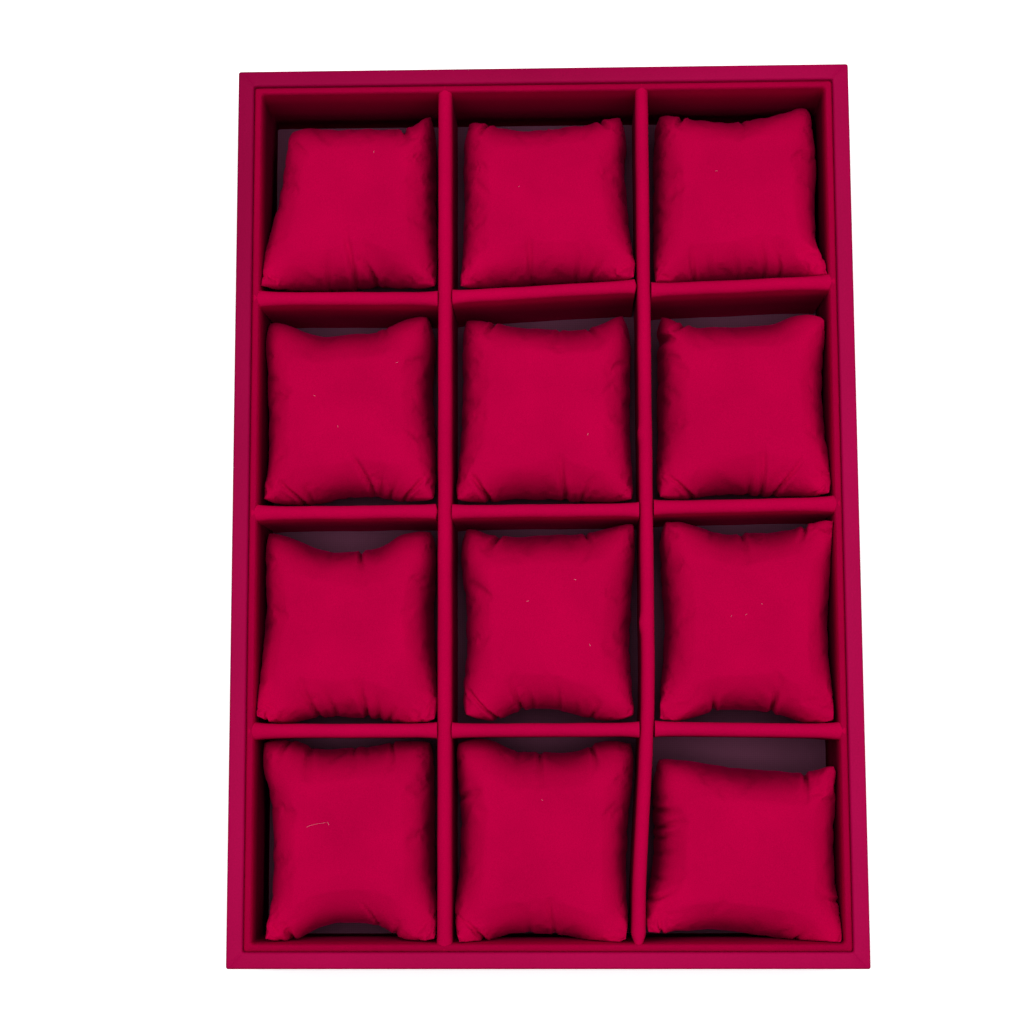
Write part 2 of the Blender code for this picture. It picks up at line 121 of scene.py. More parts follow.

# Painted light: the leatherette's colour is made brighter to the right and to the front, standing in for the
# light and gloss that fall there: shares at the back corners and in front
LEATHER_PAINTED_LIGHT_LEFT = 0.90
LEATHER_PAINTED_LIGHT_RIGHT = 1.24
LEATHER_PAINTED_LIGHT_FRONT = 1.35

# Wrapped frame
FRAME_EDGE = 0.0010
FRAME_CROWN = 0.00008
OUTER_CORNER = 0.0009
INNER_CORNER = 0.0008
CREASE_HEIGHT = 0.00024
CREASE_DIP = 0.00014
CREASE_WIDTH = 0.0007
WRAP_SEAM_Y = -0.1216
WRAP_SEAM_STEP = 0.00022
CREASE_REACH = 0.012
WRAP_SEAM_WIDTH = 0.008
WRAP_SEAM_LENGTH = 0.03
RING_STEP = 0.003
SIDE_STEPS = [round((CAD_BOX[1][axis] - CAD_BOX[0][axis]) / RING_STEP) for axis in (0, 1)]
CORNER_STEPS = 8
EDGE_STEPS = 5

# Velvet bars and liners
LINER_WRAP = 0.00035
LINER_PEAK = 0.0017
LINER_OUTER_DROP = 0.0015
LINER_INNER_DROP = 0.0018
LINER_ARC_STEPS = 8
BAR_STEP = 0.0015
BAR_ARC_POINTS = 13
BAR_ROUND = 0.0024
BAR_WAVE = 0.00010
BAR_CROWN = 0.0021
STATION_EASE = 0.55
# Where the wrap bulges on the left of a long divider: pixel x and y, size and length in m
BULGES = {"long_divider_right": [(640, 432, 0.0006, 0.0022), (642, 623, 0.0008, 0.0030)]}
WALL_FLARE = 0.0014
WALL_FLARE_LENGTH = 0.0040
INNER_FLARE = 0.0005
INNER_FLARE_LENGTH = 0.0035
TIP_LENGTH = 0.0022
TIP_DROP = 0.0008
POINT_LENGTH = 0.0065
WALL_TIP = 0.001
THINNEST_BAR = 0.003
THINNEST_TIP = 0.0003
NO_FLARE = (0.0, 1.0)
# Flare and length of the front end of each long divider, and how long that end's tip is
LONG_DIVIDERS = {
    "long_divider_left": ((0.0006, 0.004), TIP_LENGTH),
    "long_divider_right": ((0.0008, 0.005), POINT_LENGTH),
}

# Tabs of the dividers, which rest in the liners' notches
LINER_LOW, LINER_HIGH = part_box("liner_left")
TAB_STEP_MARGIN = 0.0003
TAB_DEPTH = 0.014
TAB_REACH = LINER_HIGH.x - LINER_LOW.x + TAB_STEP_MARGIN
TAB_BOTTOM = LINER_HIGH.z - TAB_DEPTH

# Pillows
GRID_U = 56
GRID_V = 60
EDGE_EASE = 0.40
EAR_BLUNT = 0.036
BLUNT_POWER = 10
EAR_POWER = 3.0
CROWN_POWERS = (7.5, 4.2)
ROUND_POWER = 0.50
BELLY_POWERS = (2.4, 2.4)
BELLY_DEPTH = 1.25
REST_SOFTNESS = 0.0012
SIDE_BULGE = 0.0024
SIDE_ROOM = 0.0040
SEAM_RIPPLE = 0.00040
RIPPLE_SIZE = 0.0055
UNEVEN = ((0.020, 0.00045), (0.0065, 0.00010))
NOTCH_SHARE = 0.80
BACK_SINK = 0.0018
SOFT_FOLD = 0.60
CRISP_FOLD = 0.85
CRISP_WIDTH = 0.75
SEAM_PRESS = 0.35

# Cloth: the cover is a little larger than the stuffed shape, so it gathers along the pinned seam
CLOTH_SCALE = 10
CLOTH_FRAMES = 20
CLOTH_QUALITY = 5
CLOTH_PRESSURE = 2.5
CLOTH_GROWTH = 0.02
CLOTH_CAP = 0.0018
CLOTH_MASS = 0.3
REST_BAND = 0.0006
CLOTH_STIFFNESS = {"tension": 25, "compression": 25, "shear": 10, "bending": 0.5}
CLOTH_DAMPING = {"tension": 15, "compression": 15, "shear": 10, "bending": 0.5}

# Folds of each pillow, as the photo shows them: side, place along it from -1 to 1, lean in mm sideways
# for each mm inwards, reach, width and depth in mm
FOLDS = {
    (1, 1): [
        ("front", 0.12, -0.30, 24, 2.2, 1.3), ("front", 0.34, -0.80, 9, 2.4, 1.6),
        ("front", -0.20, 0.05, 8, 1.6, 0.7), ("back", 0.62, 0.30, 9, 2.6, 1.2),
    ],
    (1, 2): [
        ("front", -0.17, -0.12, 19, 2.0, 1.0), ("front", 0.33, 0.05, 7, 1.8, 0.8),
        ("front", 0.50, 0.60, 9, 2.2, 0.9), ("back", 0.02, 0.0, 4, 1.2, 0.8),
        ("back", -0.72, -0.5, 9, 2.4, 1.2), ("back", 0.72, 0.4, 8, 2.4, 1.1),
    ],
    (1, 3): [
        ("front", -0.56, 0.0, 11, 2.0, 0.9), ("front", -0.36, 0.0, 9, 1.7, 0.7),
        ("front", -0.05, 0.0, 7, 1.8, 0.5), ("front", 0.26, 0.0, 12, 2.0, 1.0),
        ("front", 0.44, -0.1, 9, 1.7, 0.9), ("back", 0.08, 0.3, 5, 1.6, 1.0),
        ("back", -0.68, -0.4, 8, 2.2, 1.2),
    ],
    (2, 1): [
        ("front", 0.33, -0.62, 20, 2.0, 1.5), ("front", 0.40, -0.15, 10, 1.4, 1.1),
        ("front", 0.50, 0.30, 9, 1.5, 1.0), ("front", 0.66, 0.90, 10, 2.0, 1.1),
        ("front", -0.50, -1.30, 9, 2.0, 1.3), ("front", -0.40, -0.55, 6, 1.6, 0.9),
        ("back", 0.36, 0.0, 5, 1.3, 0.8), ("back", 0.46, 0.0, 6, 1.2, 0.8),
    ],
    (2, 2): [
        ("front", 0.24, -0.20, 15, 2.0, 1.5), ("front", 0.42, 0.50, 9, 1.8, 0.9),
        ("front", -0.62, -0.70, 11, 2.4, 1.9), ("back", 0.20, -0.6, 4, 1.4, 1.0),
        ("back", -0.62, -0.5, 8, 2.2, 1.2), ("back", 0.55, 0.5, 8, 2.2, 1.0),
    ],
    (2, 3): [
        ("front", 0.20, -0.05, 20, 2.1, 1.1), ("front", 0.34, 0.75, 17, 2.0, 1.3),
        ("front", -0.62, -1.00, 9, 2.2, 1.4), ("front", 0.05, -0.1, 8, 1.8, 0.8),
        ("left", 0.72, 0.10, 8, 4.0, 1.2), ("back", -0.70, -0.8, 7, 2.2, 1.2),
    ],
    (3, 1): [
        ("back", 0.14, 0.10, 10, 1.8, 2.0), ("back", -0.22, 0.0, 5, 1.8, 0.7),
        ("front", -0.30, -0.36, 19, 2.3, 1.3), ("front", -0.08, -0.40, 12, 2.0, 0.9),
        ("front", 0.25, -0.22, 17, 2.2, 1.5), ("front", 0.38, -0.10, 10, 1.7, 0.9),
        ("front", 0.50, 0.30, 8, 1.8, 0.8), ("front", -0.88, 0.4, 5, 1.4, 1.0),
    ],
    (3, 2): [
        ("front", -0.34, -0.25, 14, 1.7, 1.5), ("front", -0.18, -0.30, 9, 1.6, 0.8),
        ("front", 0.12, -0.05, 10, 1.5, 1.1), ("front", 0.32, 0.0, 6, 1.6, 0.7),
        ("front", 0.50, 0.5, 7, 1.6, 0.9), ("front", -0.62, -1.00, 12, 2.2, 1.5),
        ("back", 0.42, 0.4, 5, 1.6, 1.4), ("back", -0.60, -0.5, 8, 2.6, 1.5),
    ],
    (3, 3): [
        ("back", -0.10, 0.20, 13, 1.7, 1.4), ("back", 0.18, 0.0, 5, 1.4, 0.5),
        ("back", 0.66, -0.50, 8, 2.2, 1.6), ("back", -0.45, -0.1, 6, 1.8, 0.7),
        ("front", 0.28, 0.10, 10, 2.0, 2.2), ("front", -0.38, -0.05, 7, 1.8, 1.4),
    ],
    (4, 1): [
        ("back", -0.42, 0.0, 15, 3.0, 0.9), ("back", -0.68, -0.40, 11, 2.6, 0.8),
        ("back", 0.10, 0.0, 5, 1.5, 0.8), ("back", 0.26, 0.0, 5, 1.4, 0.7),
        ("back", 0.55, 0.0, 9, 1.8, 1.0), ("front", 0.36, -0.80, 12, 1.6, 1.0),
        ("front", -0.66, -0.4, 9, 2.6, 1.4), ("front", 0.55, 0.1, 8, 2.0, 1.0),
    ],
    (4, 2): [
        ("back", -0.05, 0.0, 12, 1.8, 1.1), ("back", -0.30, 0.0, 6, 1.8, 0.6),
        ("back", 0.54, 0.10, 9, 1.6, 1.6), ("left", 0.45, 0.3, 7, 2.6, 0.8),
        ("front", 0.14, -0.12, 17, 1.6, 1.2), ("front", -0.68, -0.5, 10, 2.2, 1.9),
        ("front", -0.15, 0.0, 6, 1.8, 0.6),
    ],
    (4, 3): [
        ("left", 0.42, -0.10, 11, 2.6, 0.9), ("left", 0.22, 0.30, 12, 2.2, 0.9),
        ("left", 0.08, 0.45, 10, 1.8, 0.7), ("left", -0.08, 0.20, 8, 2.0, 0.6),
        ("left", -0.36, 0.1, 8, 2.2, 0.5), ("left", -0.62, 0.5, 11, 2.4, 0.7),
        ("back", 0.66, -0.30, 8, 2.2, 1.6), ("right", -0.52, 0.6, 11, 1.8, 0.8),
        ("front", 0.50, 0.6, 6, 1.8, 1.0), ("front", -0.86, 0.0, 8, 1.6, 1.2),
    ],
}

# Where the photo shows the ears of each pillow, in pixels
EARS = {
    (1, 1): {"back": ((291, 131), (433, 114)), "front": ((257, 288), (438, 289))},
    (1, 2): {"back": ((467, 121), (622, 115)), "front": ((457, 289), (637, 280))},
    (1, 3): {"back": ((657, 114), (809, 106)), "front": ((653, 285), (831, 277))},
    (2, 1): {"back": ((268, 320), (430, 314)), "front": ((261, 502), (436, 502))},
    (2, 2): {"back": ((464, 318), (625, 313)), "front": ((454, 502), (635, 502))},
    (2, 3): {"back": ((659, 314), (826, 317)), "front": ((657, 500), (832, 496))},
    (3, 1): {"back": ((267, 530), (434, 529)), "front": ((254, 720), (438, 722))},
    (3, 2): {"back": ((464, 526), (636, 521)), "front": ((464, 718), (636, 718))},
    (3, 3): {"back": ((662, 519), (837, 517)), "front": ((657, 722), (836, 723))},
    (4, 1): {"back": ((261, 740), (433, 740)), "front": ((263, 942), (437, 942))},
    (4, 2): {"back": ((455, 740), (634, 740)), "front": ((456, 946), (629, 943))},
    (4, 3): {"back": ((656, 757), (837, 763)), "front": ((645, 935), (844, 947))},
}
EAR_HEIGHTS = {"back": 0.0280, "front": 0.0380}
HIGHEST_EAR = 0.0455
EAR_HEIGHT_STEP = 0.0005
SEAM_ABOVE_FLOOR = 0.0215
CELL_GAP = 0.0005
PIXELS_PER_MM = 2.57

# How far each side of a pillow lies inside the line between its ears, in mm, at five even places:
# back and front from left to right, left and right from front to back
EDGE_PLACES = (-1, -2 / 3, -1 / 3, 0, 1 / 3, 2 / 3, 1)
EDGES = {
    (1, 1): {
        "back": (1.0, 2.0, 2.7, 4.0, 5.2), "front": (-0.5, -0.9, 0.0, 1.0, 0.4),
        "left": (0.5, 1.0, 1.5, 1.5, 0.6), "right": (0.2, 0.4, 0.4, 0.4, 0.3),
    },
    (1, 2): {
        "back": (3.3, 4.9, 4.9, 4.2, 3.6), "front": (0.0, 0.0, 0.5, 0.3, 0.0),
        "left": (1.7, 1.5, 1.2, 0.5, 0.1), "right": (0.7, 1.4, 1.6, 1.4, 0.2),
    },
    (1, 3): {
        "back": (3.0, 4.3, 5.4, 4.3, 2.7), "front": (0.0, 0.0, 0.5, 0.3, 0.0),
        "left": (0.2, 0.2, 0.1, 0.0, 0.0), "right": (3.9, 3.4, 1.9, 0.7, 0.2),
    },
    (2, 1): {
        "back": (3.8, 7.5, 6.9, 6.4, 2.8), "front": (-1.2, -0.6, 1.8, 1.6, 0.3),
        "left": (2.2, 2.1, 1.7, 1.0, 0.1), "right": (-0.3, 0.2, 0.7, 0.5, -0.8),
    },
    (2, 2): {
        "back": (2.6, 4.4, 5.4, 6.2, 5.1), "front": (0.0, 1.0, 1.2, 0.2, 0.0),
        "left": (0.9, 1.5, 1.6, 1.4, 0.6), "right": (0.6, 0.8, 0.4, -0.4, -1.0),
    },
    (2, 3): {
        "back": (4.9, 4.8, 4.5, 3.4, 0.1), "front": (0.0, 1.4, 1.4, 0.4, 0.0),
        "left": (0.3, 0.8, 0.6, 0.8, 0.6), "right": (0.5, 2.0, 2.6, 2.5, 1.4),
    },
    (3, 1): {
        "back": (3.9, 8.2, 8.6, 7.4, 2.0), "front": (-1.3, 1.3, 1.6, 1.0, -1.0),
        "left": (-0.2, 0.6, 2.0, 1.6, 0.5), "right": (0.1, 1.1, 1.9, 1.3, -0.1),
    },
    (3, 2): {
        "back": (4.1, 5.0, 4.5, 4.6, 2.8), "front": (-0.8, 3.1, 3.5, 1.2, -1.2),
        "left": (0.4, 1.3, 1.3, 0.9, -0.7), "right": (2.0, 3.0, 2.5, 1.8, 0.6),
    },
    (3, 3): {
        "back": (2.5, 6.0, 6.0, 5.5, 3.1), "front": (1.2, 4.6, 4.7, 3.6, -0.1),
        "left": (1.7, 2.5, 2.6, 1.5, 0.4), "right": (1.8, 3.1, 3.3, 2.5, 1.5),
    },
    (4, 1): {
        "back": (0.0, 3.4, 3.1, 2.3, 0.6), "front": (1.0, 6.0, 7.6, 6.3, 1.2),
        "left": (3.2, 4.3, 4.5, 4.3, 1.8), "right": (-0.3, 0.9, 1.0, 0.8, 0.4),
    },
    (4, 2): {
        "back": (-0.3, 4.2, 4.8, 4.7, 0.6), "front": (2.1, 4.6, 4.3, 3.2, -0.5),
        "left": (-0.3, 1.3, 2.1, 2.4, 1.0), "right": (1.1, 2.0, 2.0, 1.3, 0.1),
    },
    (4, 3): {
        "back": (1.0, 2.5, 3.6, 3.8, 4.1), "front": (2.5, 3.6, 3.2, 2.0, 0.4),
        "left": (-0.4, 2.0, 2.5, 1.4, 0.3), "right": (0.4, 2.1, 2.2, 1.8, 1.3),
    },
}

# Small bits of lint on the velvet, where the photo shows them: pixel x and y, and length in mm
LINT = [
    (397, 363, 0.9), (315, 396, 0.9), (338, 427, 0.9), (588, 435, 1.3), (528, 601, 1.3), (575, 580, 1.0),
    (590, 645, 1.2), (731, 616, 0.8), (746, 615, 1.0), (762, 604, 0.8), (542, 800, 0.9), (374, 152, 0.8),
    (519, 187, 0.9), (716, 172, 0.9),
]
THREAD = [(307, 827), (312, 825), (317, 824), (323, 823), (328, 822), (329, 825)]
LINT_HEIGHT = 0.041
LINT_WIDTH = 0.00011
RAY_START = 0.2


def node_points(node):
    """All the points of a CAD node as an array."""
    return np.array([vertex.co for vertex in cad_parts[node].data.vertices])


def new_piece(name, points, faces, material):
    """A smooth-shaded mesh that rides on the tray."""
    mesh = bpy.data.meshes.new(name)
    mesh.from_pydata([tuple(p) for p in points], [], faces)
    mesh.validate()
    mesh.shade_smooth()
    mesh.materials.append(material)
    piece = bpy.data.objects.new(name, mesh)
    bpy.context.scene.collection.objects.link(piece)
    return piece


# Materials


def new_material(name):
    """An empty node material, with its tree and its shader."""
    material = bpy.data.materials.new(name)
    material.use_nodes = True
    tree = material.node_tree
    return material, tree, tree.nodes["Principled BSDF"]


def set_inputs(tree, node, inputs):
    """Link or set the inputs of a node, by name or number."""
    for key, value in inputs.items():
        if isinstance(value, bpy.types.NodeSocket):
            tree.links.new(value, node.inputs[key])
        else:
            node.inputs[key].default_value = value


def add_node(tree, kind, inputs, **settings):
    """Add a shader node with its settings and inputs, and give its outputs."""
    node = tree.nodes.new("ShaderNode" + kind)
    for name, value in settings.items():
        setattr(node, name, value)
    set_inputs(tree, node, inputs)
    return node.outputs


def object_place(tree):
    """The place on the piece, in metres."""
    return add_node(tree, "TexCoord", {})["Object"]


def axis_value(tree, vector, axis):
    """One coordinate of a vector."""
    return add_node(tree, "SeparateXYZ", {"Vector": vector})[axis]


def noise_value(tree, scale, detail, stretch=(1.0, 1.0, 1.0)):
    """A noise factor over the piece, optionally stretched along an axis."""
    place = add_node(tree, "Mapping", {"Vector": object_place(tree), "Scale": stretch})["Vector"]
    return add_node(tree, "TexNoise", {"Vector": place, "Scale": scale, "Detail": detail})["Fac"]


def map_range(tree, value, to_low, to_high, from_low=0.0, from_high=1.0):
    """Spread a value from one range to another."""
    limits = {"From Min": from_low, "From Max": from_high, "To Min": to_low, "To Max": to_high}
    return add_node(tree, "MapRange", {"Value": value, **limits})["Result"]


def ramp_colour(tree, factor, stops):
    """Blend colours along a factor: each stop is its place and its colour."""
    colour = add_node(tree, "ValToRGB", {"Fac": factor})["Color"]
    elements = colour.node.color_ramp.elements
    for k, (place, shade) in enumerate(stops):
        stop = elements[k] if k < 2 else elements.new(place)
        stop.position = place
        stop.color = (*shade, 1.0)
    return colour


def mix_colour(tree, noise_factor, dark, light):
    """Blend two colours by a noise factor."""
    return ramp_colour(tree, noise_factor, ((NOISE_LOW, dark), (NOISE_HIGH, light)))


def scale_colour(tree, colour, factor):
    """Multiply a colour by a factor."""
    return add_node(tree, "VectorMath", {0: colour, "Scale": factor}, operation="SCALE")["Vector"]


def vary_colour(tree, colour, noise_factor, low, high):
    """Scale a colour between low and high by a noise factor."""
    return scale_colour(tree, colour, map_range(tree, noise_factor, low, high, NOISE_LOW, NOISE_HIGH))


def add_bump(tree, shader, heights):
    """Chain bumps of several scales: each is a height, its strength and its distance."""
    normal = {}
    for height, strength, distance in heights:
        inputs = {"Height": height, "Strength": strength, "Distance": distance, **normal}
        normal = {"Normal": add_node(tree, "Bump", inputs)["Normal"]}
    set_inputs(tree, shader, normal)


def painted_shade_by_height(tree, stops):
    """A share of the colour by the height above the table, for the painted shade."""
    height = axis_value(tree, object_place(tree), "Z")
    factor = add_node(tree, "Math", {0: height, 1: PAINTED_SHADE_HEIGHT}, operation="DIVIDE")["Value"]
    return ramp_colour(tree, factor, [(place / PAINTED_SHADE_HEIGHT, [share] * 3) for place, share in stops])


def paint_shade_with_depth(tree, colour, painted_shade, side_painted_shade):
    """Paint shade into a colour down in the cells, and more on the faces that look sideways."""
    share = painted_shade_by_height(tree, painted_shade)
    if side_painted_shade:
        across = axis_value(tree, add_node(tree, "NewGeometry", {})["Normal"], "X")
        sideways = add_node(tree, "Math", {0: across}, operation="ABSOLUTE")["Value"]
        shares = {0: sideways, 6: share, 7: painted_shade_by_height(tree, side_painted_shade)}
        share = add_node(tree, "Mix", shares, data_type="RGBA")[2]
    return scale_colour(tree, colour, share)


def velvet(name, nap_scale, sheen, painted_shade, side_painted_shade=None):
    """Short crimson velvet: nap that lies in broad patches, fine pile, a soft sheen, and painted shade down
    in the cells.
    """
    material, tree, shader = new_material(name)
    nap = noise_value(tree, nap_scale, 3.0)
    pile = noise_value(tree, PILE_SCALE, 2.0)
    fibre = noise_value(tree, FIBRE_SCALE, 3.0, stretch=(1.0, 0.35, 1.0))
    colour = mix_colour(tree, nap, VELVET_DARK, VELVET_LIGHT)
    colour = vary_colour(tree, colour, pile, 0.90, 1.06)
    colour = paint_shade_with_depth(tree, colour, painted_shade, side_painted_shade)
    set_inputs(tree, shader, {
        "Base Color": colour, "Roughness": 0.92, "Specular IOR Level": 0.01,
        "Sheen Weight": sheen, "Sheen Roughness": 0.45, "Sheen Tint": (*VELVET_SHEEN, 1.0),
    })
    add_bump(tree, shader, [(pile, 0.35, 0.00012), (fibre, 0.25, 0.00015)])
    return material


def leatherette():
    """Smooth wrapped leatherette with a fine grain, a slight gloss, and painted light that brightens it to
    the right and to the front.
    """
    material, tree, shader = new_material("leatherette_wrap")
    place = object_place(tree)
    broad = noise_value(tree, LEATHER_PATCH_SCALE, 3.0)
    grain = noise_value(tree, LEATHER_GRAIN_SCALE, 4.0)
    cells = add_node(tree, "TexVoronoi", {"Vector": place, "Scale": LEATHER_CELL_SCALE})["Distance"]
    (left, front, _), (right, back, _) = CAD_BOX
    # Painted light: the colour grows brighter to the right and to the front
    across = map_range(tree, axis_value(tree, place, "X"), LEATHER_PAINTED_LIGHT_LEFT, LEATHER_PAINTED_LIGHT_RIGHT, left, right)
    forwards = map_range(tree, axis_value(tree, place, "Y"), 0.0, 1.0, back, front)
    painted_light_level = add_node(tree, "Mix", {0: forwards, 2: across, 3: LEATHER_PAINTED_LIGHT_FRONT})[0]
    colour = mix_colour(tree, broad, LEATHER_DARK, LEATHER_LIGHT)
    colour = vary_colour(tree, colour, grain, 0.93, 1.05)
    colour = scale_colour(tree, colour, painted_light_level)
    rough = map_range(tree, grain, 0.44, 0.58)
    set_inputs(tree, shader, {"Base Color": colour, "Roughness": rough, "Specular IOR Level": 0.02})
    add_bump(tree, shader, [(cells, 0.20, 0.00010), (grain, 0.20, 0.00006)])
    return material


def lining():
    """Dull purple-grey lining cloth with a plain weave."""
    material, tree, shader = new_material("floor_lining_cloth")
    colour = mix_colour(tree, noise_value(tree, LINING_PATCH_SCALE, 3.0), LINING_DARK, LINING_LIGHT)
    weave = {"Vector": object_place(tree), "Scale": WEAVE_SCALE, "Distortion": 0.6, "Detail": 1.0}
    waves = [add_node(tree, "TexWave", weave, bands_direction=axis)["Fac"] for axis in ("X", "Y")]
    for wave in waves:
        colour = vary_colour(tree, colour, wave, 0.92, 1.04)
    set_inputs(tree, shader, {
        "Base Color": colour, "Roughness": 0.85, "Specular IOR Level": 0.2, "Sheen Weight": 0.15,
    })
    add_bump(tree, shader, [(wave, 0.3, 0.0001) for wave in waves])
    return material


def fibreboard():
    """Dark plain board with pressed fibres."""
    material, tree, shader = new_material("dark_fibreboard")
    fibres = noise_value(tree, BOARD_FIBRE_SCALE, 5.0, stretch=(1.0, 0.2, 1.0))
    colour = mix_colour(tree, fibres, BOARD_DARK, BOARD_LIGHT)
    set_inputs(tree, shader, {"Base Color": colour, "Roughness": 0.8, "Specular IOR Level": 0.25})
    add_bump(tree, shader, [(fibres, 0.3, 0.0001)])
    return material


def lint_fibre():
    """Pale pink dust fibres."""
    material, tree, shader = new_material("pale_lint")
    colour = mix_colour(tree, noise_value(tree, LINT_SCALE, 1.0), LINT_PINK, LINT_PALE)
    set_inputs(tree, shader, {"Base Color": colour, "Roughness": 0.9})
    return material


# Wrapped frame and liners, lofted between rounded rectangles


def rounded_rectangle(half_x, half_y, radius):
    """Points round a rectangle whose corners are arcs, starting after the back right corner."""
    points = []
    corners = [(1, 1, 0), (-1, 1, 90), (-1, -1, 180), (1, -1, 270)]
    for k, (sx, sy, start) in enumerate(corners):
        centre = (sx * (half_x - radius), sy * (half_y - radius))
        for step in range(CORNER_STEPS + 1):
            angle = math.radians(start + 90 * step / CORNER_STEPS)
            points.append((centre[0] + radius * math.cos(angle), centre[1] + radius * math.sin(angle)))
        next_sx, next_sy, _ = corners[(k + 1) % 4]
        first = points[-1]
        if sy == next_sy:
            goal = (next_sx * (half_x - radius), next_sy * half_y)
        else:
            goal = (next_sx * half_x, next_sy * (half_y - radius))
        for step in range(1, SIDE_STEPS[k % 2]):
            share = step / SIDE_STEPS[k % 2]
            points.append((first[0] + (goal[0] - first[0]) * share, first[1] + (goal[1] - first[1]) * share))
    return np.array(points)


def loft_ring(name, section, half_x, half_y, material, shape=None):
    """Loft a closed section round the tray: each point is its inset, height and corner radius."""
    loops = []
    for inset, height, radius in section:
        flat = rounded_rectangle(half_x - inset, half_y - inset, radius)
        loops.append(np.column_stack([flat, np.full(len(flat), height)]))
    grid = np.array(loops)
    if shape:
        grid = shape(grid, section)
    count, length = grid.shape[:2]
    faces = []
    for i in range(count):
        for j in range(length):
            i2, j2 = (i + 1) % count, (j + 1) % length
            faces.append((i * length + j, i * length + j2, i2 * length + j2, i2 * length + j))
    return new_piece(name, grid.reshape(-1, 3), faces, material)


def rounded_top(thickness, top):
    """Section points over the frame's rounded top, from the outer to the inner face."""
    angles = [math.pi / 2 * step / EDGE_STEPS for step in range(EDGE_STEPS + 1)]
    turn = [(FRAME_EDGE * (1 - math.cos(angle)), top - FRAME_EDGE * (1 - math.sin(angle)))
            for angle in angles]
    flat = thickness - 2 * FRAME_EDGE
    over = [(FRAME_EDGE + flat * k, top + FRAME_CROWN * math.sin(math.pi * k)) for k in (0.25, 0.5, 0.75)]
    return turn + over + [(thickness - inset, height) for inset, height in reversed(turn)]


def crease_corners(grid, section):
    """Raise the fold of the wrap along each mitre and step it down at the overlap on the left side."""
    top = max(height for _, height, _ in section)
    half = np.abs(grid[:, :, :2]).max(axis=(0, 1))
    for i, (_, height, _) in enumerate(section):
        if height < top - FRAME_EDGE / 2:
            continue
        x, y = grid[i, :, 0], grid[i, :, 1]
        mitre = (half[0] - np.abs(x)) - (half[1] - np.abs(y))
        ridge = CREASE_HEIGHT * np.exp(-((mitre / CREASE_WIDTH) ** 2))
        dip = CREASE_DIP * np.exp(-(((np.abs(mitre) - 2.2 * CREASE_WIDTH) / CREASE_WIDTH) ** 2))
        near = (half[0] - np.abs(x) < CREASE_REACH) & (half[1] - np.abs(y) < CREASE_REACH)
        grid[i, :, 2] += np.where(near, ridge - dip, 0.0)
        past = (x < WRAP_SEAM_WIDTH - half[0]) & (y < WRAP_SEAM_Y) & (y > WRAP_SEAM_Y - WRAP_SEAM_LENGTH)
        grid[i, :, 2] -= np.where(past, WRAP_SEAM_STEP * (1 + (y - WRAP_SEAM_Y) / WRAP_SEAM_LENGTH), 0.0)
    return grid


def make_frame(material):
    """One wrap round the four frame boards, with soft edges and creased corners."""
    low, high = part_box("frame_side_left")
    thickness = high.x - low.x
    top = high.z
    half_x, half_y = -low.x, high.y
    section = [(0.0004, 0.0), (0.0, 0.0005), (0.0, top * 0.5)] + rounded_top(thickness, top)
    section += [(thickness, top * 0.5), (thickness, 0.0005), (thickness - 0.0004, 0.0)]
    section = [
        (inset, height, OUTER_CORNER + (INNER_CORNER - OUTER_CORNER) * inset / thickness)
        for inset, height in section
    ]
    wrap = loft_ring("frame_wrap", section, half_x, half_y, material, crease_corners)
    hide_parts(*["frame_side_" + side for side in ("left", "right", "back", "front")])
    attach(wrap, "root")
    return wrap


def make_liners(material):
    """The velvet lip inside the frame."""
    low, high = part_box("liner_left")
    thickness = high.x - low.x
    half_x, half_y = -low.x, high.y
    top = high.z
    outer = -LINER_WRAP
    section = [(outer, low.z), (outer, top * 0.5)]
    for step in range(LINER_ARC_STEPS + 1):
        angle = math.pi / 2 * step / LINER_ARC_STEPS
        inset = LINER_PEAK - (LINER_PEAK - outer) * math.cos(angle)
        section.append((inset, top - LINER_OUTER_DROP * (1 - math.sin(angle))))
    for step in range(LINER_ARC_STEPS - 1, -1, -1):
        angle = math.pi / 2 * step / LINER_ARC_STEPS
        inset = LINER_PEAK + (thickness - LINER_PEAK) * math.cos(angle)
        section.append((inset, top - LINER_INNER_DROP * (1 - math.sin(angle))))
    section += [(thickness, top * 0.5), (thickness, low.z)]
    section = [(inset, height, INNER_CORNER + 0.0003) for inset, height in section]
    ring = loft_ring("liner_velvet", section, half_x, half_y, material)
    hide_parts(*["liner_" + side for side in ("left", "right", "back", "front")])
    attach(ring, "root")
    return ring


# Velvet bars


def read_bar(node, axis):
    """The middle line and width of a CAD divider, station by station along its axis."""
    points = node_points(node)
    along, across = points[:, axis], points[:, 1 - axis]
    low = points[:, 2] < points[:, 2].max() - BAR_CROWN
    places = np.unique(np.round(along[low], 5))
    middles, widths = [], []
    for place in places:
        at = low & (np.abs(along - place) < 2e-5)
        middles.append((across[at].max() + across[at].min()) / 2)
        widths.append(across[at].max() - across[at].min())
    whole = np.array(widths) > THINNEST_BAR
    return places[whole], np.array(middles)[whole], np.array(widths)[whole]


def bar_section(half_width, top, bottom, round_over):
    """Points up one side, over the round top and down the other side."""
    points = [(-half_width, bottom), (-half_width, (top + bottom) / 2)]
    for step in range(BAR_ARC_POINTS):
        angle = math.pi * step / (BAR_ARC_POINTS - 1)
        points.append((-half_width * math.cos(angle), top - round_over + round_over * math.sin(angle)))
    points += [(half_width, (top + bottom) / 2), (half_width, bottom)]
    return points


